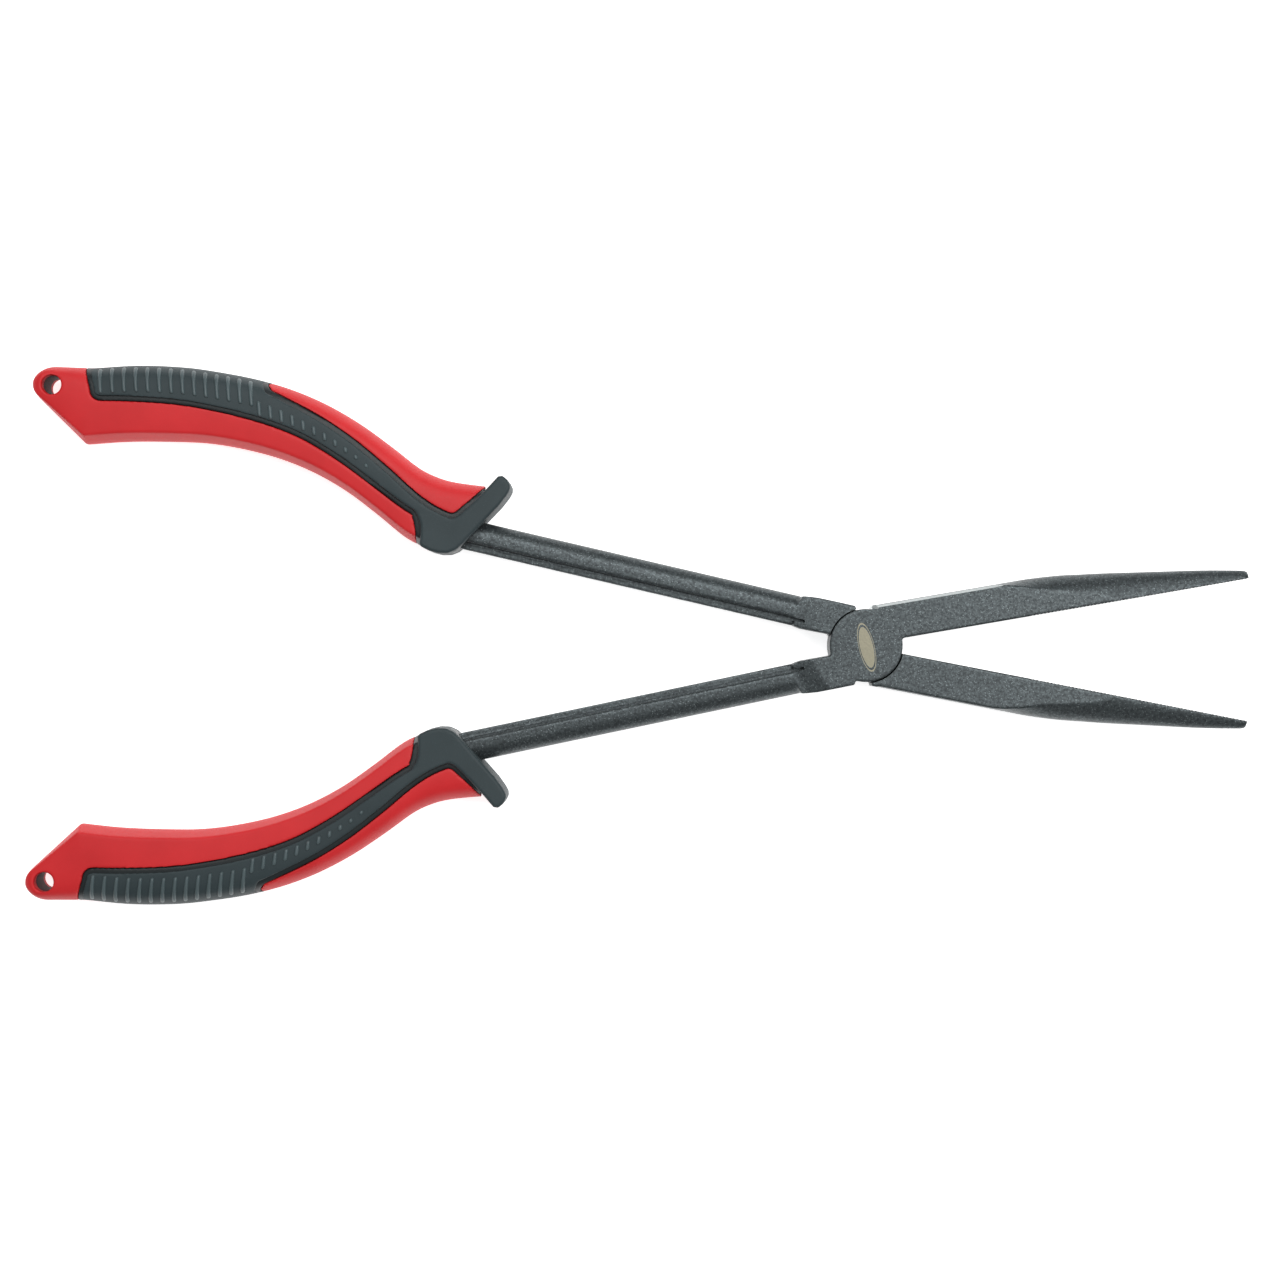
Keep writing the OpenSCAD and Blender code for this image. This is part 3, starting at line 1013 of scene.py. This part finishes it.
    def places(self) -> list[float]:
        """The places along X where the grip's section is set.

        Returns:
            The places, from the tail to the front.
        """
        round_end = [self.x_at(1) + self.tail_r * (1 - math.cos(math.radians(a)))
                     for a in (4, 14, 24, 34, 44, 54, 64, 74, 84)]
        shares = [0.94, 0.925, 0.91, 0.895, self.lip, self.knee + 0.006, self.knee,
                  self.knee - 0.01, *steps(0.84, 0.16, 44), *steps(0.145, -0.02, 12)]
        return [*round_end, *[self.x_at(s) for s in shares]]

    def body(self, name: str, grow_w: float = 0.0, grow_h: float = 0.0,
             front_h: float = 0.0) -> bpy.types.Object:
        """The whole grip as one lofted solid.

        Args:
            name: The new object's name.
            grow_w: How far its sides stand out past the grip's outline.
            grow_h: How far its faces stand out past the grip's faces.
            front_h: The half thickness that its faces rise to at the elbow, or 0.

        Returns:
            The solid.
        """
        inner, outer = through(self.inner_quarter), through(self.outer_quarter)
        top = [*inner, *[(-a, b) for a, b in reversed(outer)][1:]]
        section = [*top, *[(a, -b) for a, b in reversed(top)][1:-1]]
        stations = []
        for x in self.places():
            middle = (self.edge(x, 1) + self.edge(x, -1)) / 2
            half = (self.edge(x, 1) - self.edge(x, -1)) / 2
            high = self.height(x, half) + grow_h
            if front_h:
                t = min(max((0.3 - self.share_at(x)) / 0.17, 0), 1)
                high += (front_h - high) * t * t * (3 - 2 * t)
            stations.append((x, middle, half + grow_w, high))
        return loft(name, section, stations)

    def strip_edge(self, share: float, side: int, inset: float) -> float:
        """The Y of the soft strip's edge, moved inwards by an inset.

        Args:
            share: The place, as a share of the grip's length.
            side: +1 for the inner edge and -1 for the outer edge.
            inset: How far the edge is drawn in.

        Returns:
            The Y of that edge.
        """
        table = self.strip_in_at if side > 0 else self.strip_out_at

        def line(s: float) -> float:
            """The edge before the inset."""
            return self.spine(s) + self.half_width(s) * curve(table, s)

        slope = (line(share + 0.005) - line(share - 0.005)) / (0.01 * self.length)
        return line(share) - side * inset * math.hypot(1, slope)

    def strip(self, inset: float) -> list[Point]:
        """The soft strip's outline on both faces.

        Args:
            inset: How far it is drawn in from the shell's edge.

        Returns:
            The outline's points.
        """
        back = self.x_at(self.wrap_back) + inset
        front = self.x_at(self.wrap_front) - inset
        side = self.spine(self.wrap_front) - self.half_width(self.wrap_front)
        radius = max(self.corner - inset, 0.9)
        turn = self.wrap_back - (radius + inset) / self.length
        high = self.strip_edge(turn, 1, inset)
        inner = [(self.x_at(s), self.strip_edge(s, 1, inset))
                 for s in steps(self.strip_front, turn, 40)]
        outer = [(self.x_at(s), self.strip_edge(s, -1, inset))
                 for s in steps(self.wrap_front - 0.012 + inset / self.length,
                                self.strip_front, 26)]
        return [*inner, *arc((back + radius, high - radius), radius, 105, 172, 6),
                (back - self.wrap_slant, self.edge(back, -1)), (back - self.wrap_slant, side - 8),
                (front + 1.1, side - 8), (front + 1.1, side - 0.1), (front + 0.35, side + 0.15),
                (front, side + 0.75), *outer]

    def inset_outline(self, inset: float) -> list[Point]:
        """The grip's outline moved inwards.

        Args:
            inset: How far it is moved in.

        Returns:
            The outline's points.
        """
        xs = [self.x_at(s) for s in steps(0.955, -0.02, 48)]
        upper = [(x, self.edge(x, 1) - inset * 1.15) for x in xs]
        lower = [(x, self.edge(x, -1) + inset * 1.15) for x in xs]
        return [*upper, *reversed(lower)]

    def canted(self, side: Side) -> Matrix:
        """The small turn of a grip's mouldings about its front, before the half is placed.

        Args:
            side: The half that the grip belongs to.

        Returns:
            The matrix of that turn.
        """
        there = Matrix.Translation((*self.datum, 0))
        turn = Matrix.Rotation(math.radians(-side.sign * self.cant), 4, "Z")
        return there @ turn @ there.inverted()


# ---------------------------------------------------------------- the guard's outlines
HEEL = [(-10.5, 4.2), (-8.9, 4.9), (-7, 5.4), (-4.9, 5.55), (-2.9, 5.15), (-1.3, 4.1), (-0.2, 2.6)]
GUARD_FRONT = [(3.6, -3.6), (6.1, -7.5), (7.35, -10), (7.75, -11.2)]
GUARD_TIP = [(7.7, -12.2), (6.85, -13.35), (5.6, -14.05), (4.6, -13.75)]
GUARD_BACK = [(3.9, -12.7), (2.9, -11.5), (2.1, -10.9), (-0.55, -7.3), (-3.1, -4.1), (-4.4, -3.5)]
GUARD_INSIDE = [(-12.4, -1.4), (-11.7, -0.4), (-11.0, 1.4), (-10.6, 3)]
# the raised part of the elbow and the guard stands back from the shell by the rim's width
RAISED_HEEL = [(-9.4, 4.45), (-8.8, 4.85), (-7, 5.35), (-4.9, 5.5), (-2.9, 5.1), (-1.3, 4.05),
               (-0.2, 2.6)]
RAISED_BACK = [(3.9, -12.6), (2.95, -11.0), (0.25, -6.9), (-2.2, -3.6), (-3.2, -2.8),
               (-4.6, -2.45), (-8.0, -2.6)]
RAISED_INSIDE = [(-12.1, -2.6), (-10.9, -1.5), (-10.1, 0.0), (-9.7, 1.7), (-9.5, 3.1)]


@dataclass
class HardShell:
    """The red shell, with a channel for the soft overmould and a hollow for the core."""

    shape: GripShape
    grain: float = 0.27

    def channel(self) -> bpy.types.Object:
        """The room that the overmould takes from the shell.

        Returns:
            The cutter.
        """
        shape = self.shape
        room = prism("strip_room", shape.strip(0), -PAST, PAST)
        floor = prism("channel_floor", shape.inset_outline(shape.skin),
                      -shape.thickness / 2 + shape.skin, shape.thickness / 2 - shape.skin)
        return combine(room, floor, Join.CUT)

    def guard_room(self) -> bpy.types.Object:
        """Everything in front of the guard's back edge.

        Returns:
            The cutter.
        """
        outline = [*GUARD_BACK, *GUARD_INSIDE, HEEL[0], (HEEL[0][0], 20), (20, 20), (20, -20),
                   (GUARD_BACK[0][0], -20)]
        return prism("guard_room", moved(outline, self.shape.datum), -PAST, PAST)

    def build(self) -> bpy.types.Object:
        """Moulds the shell, before it is fitted over the steel.

        Returns:
            The shell, closed and in millimetres.
        """
        shape = self.shape
        solid = shape.body("shell")
        combine(solid, self.channel(), Join.CUT)
        combine(solid, self.guard_room(), Join.CUT)
        hole = turned("lanyard_hole", [(shape.hole_r + 1, -8), (shape.hole_r + 0.05, -5.6),
                                       (shape.hole_r + 0.05, 5.6), (shape.hole_r + 1, 8)], 48)
        hole.location = (*shape.lanyard, 0)
        combine(solid, hole, Join.CUT)
        soften(solid, self.grain, 5)
        core = prism("core_room", shape.inset_outline(shape.core_inset), -shape.core_z,
                     shape.core_z)
        return combine(solid, core, Join.CUT)


@dataclass
class Overmould:
    """The soft grey overmould: a sunk rim, a raised ribbed panel and the finger guard."""

    shape: GripShape
    grain: float = 0.24
    rim_gap: float = 0.1
    rim_sink: float = 0.35
    panel_inset: float = 1.15
    panel_rise: float = 0.28
    rib_pitch: float = 2.55
    rib_w: float = 0.95
    rib_h: float = 0.45
    rib_lean: float = 0.3
    long_ribs: int = 14
    short_ribs: int = 11
    first_rib: float = -177.0

    def rim(self) -> bpy.types.Object:
        """The sunk band around the raised panel, with the floor under the panel.

        Returns:
            The band.
        """
        shape = self.shape
        solid = shape.body("rim", 0.02, -self.rim_sink)
        band = prism("band", shape.strip(self.rim_gap), -PAST, PAST)
        guard = prism("guard_foot", moved([*HEEL, *GUARD_FRONT, *GUARD_TIP, *GUARD_BACK,
                                           *GUARD_INSIDE], shape.datum), -PAST, PAST)
        combine(band, guard, Join.FUSE)
        combine(solid, band, Join.COMMON)
        return soften(solid, self.grain, 3)

    def guard(self) -> bpy.types.Object:
        """The raised elbow and the finger guard, with rounded edges.

        Returns:
            The elbow and the guard.
        """
        outline = [*RAISED_HEEL, *GUARD_FRONT, *GUARD_TIP, *RAISED_BACK, *RAISED_INSIDE]
        solid = prism("guard", moved(outline, self.shape.datum), -self.shape.guard_z,
                      self.shape.guard_z)
        apply_modifier(solid, "BEVEL", width=1.3, segments=4, limit_method="ANGLE",
                       angle_limit=math.radians(60))
        return solid

    def panel(self) -> bpy.types.Object:
        """The raised panel with the guard, as one soft skin.

        Returns:
            The panel.
        """
        shape = self.shape
        solid = shape.body("panel", 0.02, self.panel_rise, shape.guard_z)
        combine(solid, prism("panel_edge", shape.strip(self.panel_inset), -PAST, PAST), Join.COMMON)
        combine(solid, self.guard(), Join.FUSE)
        return soften(solid, self.grain, 4)

    def surface(self, x: float, y: float) -> float:
        """The raised panel's height at a place.

        Args:
            x: The place along the grip.
            y: The place across it.

        Returns:
            The height above the grip's middle plane.
        """
        shape = self.shape
        middle = (shape.edge(x, 1) + shape.edge(x, -1)) / 2
        half = (shape.edge(x, 1) - shape.edge(x, -1)) / 2 + 0.1
        t = min(abs(y - middle) / half, 0.985)
        quarter = shape.outer_quarter if y < middle else shape.inner_quarter
        rise = curve([(a, b) for a, b in reversed(quarter)], t)
        return (shape.height(x, half) + self.panel_rise) * rise

    def rib_stations(self) -> list[tuple[float, float, float]]:
        """The X of each rib's middle and the Y of its two ends.

        Returns:
            X, inner end and outer end of each rib, from the tail forwards.
        """
        shape = self.shape
        ribs = []
        for k in range(self.long_ribs + self.short_ribs):
            x = self.first_rib + k * self.rib_pitch
            s = shape.share_at(x)
            inner = shape.strip_edge(s, 1, self.panel_inset + 0.55)
            if k < self.long_ribs:
                outer = shape.edge(x, -1) + 0.85
                inner = min(inner, outer + 5.6)
            else:
                t = (k - self.long_ribs) / (self.short_ribs - 1)
                long = 3.3 - 2.5 * t
                middle = shape.spine(s) - (1.3 - 1.0 * t)
                inner, outer = middle + long / 2, middle - long / 2
            ribs.append((x, inner, outer))
        return ribs

    def ribs(self) -> bpy.types.Object:
        """All the ribs on both faces: one round-ended bar, stretched and bent over the panel.

        Returns:
            The ribs as one object.
        """
        bpy.ops.object.select_all(action="DESELECT")
        bpy.ops.mesh.primitive_uv_sphere_add(segments=12, ring_count=8, radius=self.rib_w / 2,
                                             rotation=(math.pi / 2, 0, 0))
        master = bpy.context.object
        bpy.ops.object.transform_apply(location=True, rotation=True, scale=True)
        bars = []
        for x, inner, outer in self.rib_stations():
            for face in (1, -1):
                bar = copy_of(master, "rib")
                self.stretch(bar, inner - outer - self.rib_w)
                for vertex in bar.data.vertices:
                    along = outer + self.rib_w / 2 + vertex.co.y
                    across = x + vertex.co.x + self.rib_lean * (along - (inner + outer) / 2)
                    rise = self.surface(across, along) - self.rib_w / 2 + self.rib_h
                    vertex.co = (across, along, face * rise + vertex.co.z)
                bars.append(bar)
        bpy.data.objects.remove(master)
        return joined("ribs", *bars)

    def stretch(self, bar: bpy.types.Object, length: float) -> None:
        """Draws one end of a rib out along Y and gives it rings to bend at.

        Args:
            bar: The rib, still a ball.
            length: How far its ends lie apart, past the ball's own size.
        """
        length = max(length, 0.05)
        select_only(bar)
        bpy.ops.object.mode_set(mode="EDIT")
        bpy.ops.mesh.select_mode(type="VERT")
        bpy.ops.mesh.select_all(action="DESELECT")
        mesh = bmesh.from_edit_mesh(bar.data)
        for vertex in mesh.verts:
            if vertex.co.y > 1e-4:
                vertex.select = True
        mesh.select_flush_mode()
        bmesh.update_edit_mesh(bar.data)
        bpy.ops.transform.translate(value=(0, length, 0))
        bpy.ops.mesh.select_mode(type="EDGE")
        bpy.ops.mesh.select_all(action="DESELECT")
        mesh = bmesh.from_edit_mesh(bar.data)
        for edge in mesh.edges:
            low, high = sorted(v.co.y for v in edge.verts)
            if low < 1e-4 and high > length:
                edge.select = True
        bmesh.update_edit_mesh(bar.data)
        if length > 0.8:
            bpy.ops.mesh.subdivide(number_cuts=int(length / 0.5))
        bpy.ops.object.mode_set(mode="OBJECT")

    def build(self) -> bpy.types.Object:
        """Moulds the overmould, before it is fitted over the steel.

        Returns:
            The overmould, closed and in millimetres.
        """
        shape = self.shape
        # the ribs' material is paler, a painted highlight on the raised ribs
        # the rim's material darkens the sunk band with painted shade
        finishes = [bpy.data.materials[name] for name in (
            "grey_moulded_rubber", "grey_rubber_rim_painted_shade", "grey_rubber_ribs_painted_highlight")]
        solid, rim, ribs = self.panel(), self.rim(), self.ribs()
        for slot, piece in enumerate((solid, rim, ribs)):
            dress(piece, *finishes)
            for face in piece.data.polygons:
                face.material_index = slot
        combine(solid, ribs, Join.FUSE)
        combine(solid, rim, Join.FUSE)
        floor = prism("channel_floor", shape.inset_outline(shape.skin),
                      -shape.thickness / 2 + shape.skin, shape.thickness / 2 - shape.skin)
        front = prism("floor_end", moved([(-9.0, 20), (-9.0, -2), (-3.8, -2.4), (5, -12), (5, -30),
                                          (-140, -30), (-140, 20)], shape.datum), -PAST, PAST)
        combine(floor, front, Join.COMMON)
        return combine(solid, floor, Join.CUT)


# ---------------------------------------------------------------- the studio
def studio() -> None:
    """A pale paper floor, a white room, two soft lights and the camera overhead."""
    low = CAD_BOX[0][2]
    bpy.ops.object.select_all(action="DESELECT")
    bpy.ops.mesh.primitive_plane_add(size=4, location=(0, 0, low))
    floor = bpy.context.object
    floor.name = "paper_floor"
    bpy.ops.object.transform_apply(location=True, rotation=True, scale=True)
    dress(floor, Moulded("lit_white_paper", "#FFFFFF", "#FBFBFB", 0.9, grain=1.5, bump=0.05,
                         glow=0.75).make())
    world = bpy.data.worlds.new("white_room")
    world.use_nodes = True
    room = world.node_tree.nodes["Background"]
    room.inputs["Color"].default_value = linear("#FFFFFF")
    room.inputs["Strength"].default_value = 0.35
    bpy.context.scene.world = world
    for name, place, size, power in (("key", (0.0, 0.36, 0.8), 0.6, 5.0),
                                     ("nose", (0.34, 0.04, 0.75), 0.25, 1.8)):
        lamp = bpy.data.lights.new(name, "AREA")
        lamp.size, lamp.energy = size, power
        light = bpy.data.objects.new(name, lamp)
        bpy.context.scene.collection.objects.link(light)
        light.location = place
        light.rotation_euler = (-Vector(place)).to_track_quat("-Z", "Y").to_euler()
    camera_data = bpy.data.cameras.new("overhead")
    camera_data.lens, camera_data.sensor_width = LENS, 36
    camera = bpy.data.objects.new("overhead", camera_data)
    bpy.context.scene.collection.objects.link(camera)
    camera.location = CAMERA_AT
    camera.rotation_euler = (0, 0, math.radians(CAMERA_TURN))
    bpy.context.scene.camera = camera
    bpy.context.scene.view_settings.view_transform = "Standard"


def hand_over(piece: bpy.types.Object, body: str, node: str) -> None:
    """Rides a finished piece on its body, in the place of its CAD node.

    Args:
        piece: The piece.
        body: The body that it moves with.
        node: The CAD node that it stands for.
    """
    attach(piece, body)
    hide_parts(node)
    log.info("%s: %d faces", piece.name, len(piece.data.polygons))


def main() -> None:
    """Builds the pliers piece by piece and reports each one."""
    logging.basicConfig(level=logging.INFO, format="%(name)s: %(message)s")
    finishes = Finishes()
    shape = GripShape()
    forging = ForgedHalf()
    steel = forging.build(shape)
    log.info("half forged: %d faces", len(steel.data.polygons))
    shell = HardShell(shape).build()
    log.info("shell moulded: %d faces", len(shell.data.polygons))
    mould = Overmould(shape).build()
    log.info("overmould moulded: %d faces", len(mould.data.polygons))
    for side in Side:
        body, place = f"{side.value}_handle", side.placing()
        half = copy_of(steel, f"{side.value}_forging")
        if side is Side.FRONT:
            dress(half, finishes.marked_steel, finishes.bare)
            forging.bare_edges(half, 1)
        else:
            dress(half, finishes.steel)
        settle(half, place)
        hand_over(half, body, f"{side.value}_half")
        for source, name, node, slot in ((shell, "hard_shell", "shell", "red_shell"),
                                         (mould, "soft_grip", "overmould", "grey_overmould")):
            piece = copy_of(source, f"{side.value}_{name}")
            select_only(piece)
            piece.matrix_world = shape.canted(side)
            bpy.ops.object.transform_apply(location=True, rotation=True, scale=True)
            combine(piece, forging.shank("shank_room", 0.02), Join.CUT)
            combine(piece, forging.tang(shape, 0.02), Join.CUT)
            if slot == "red_shell":
                dress(piece, finishes.red)
            settle(piece, place)
            hand_over(piece, body, f"{side.value}_{node}")
        dress(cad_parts[f"{side.value}_core"], finishes.core)
    dress(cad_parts["pivot_rivet"], finishes.marked_steel)
    for source in (steel, shell, mould):
        bpy.data.objects.remove(source)
    studio()


if __name__ == "__main__":
    main()
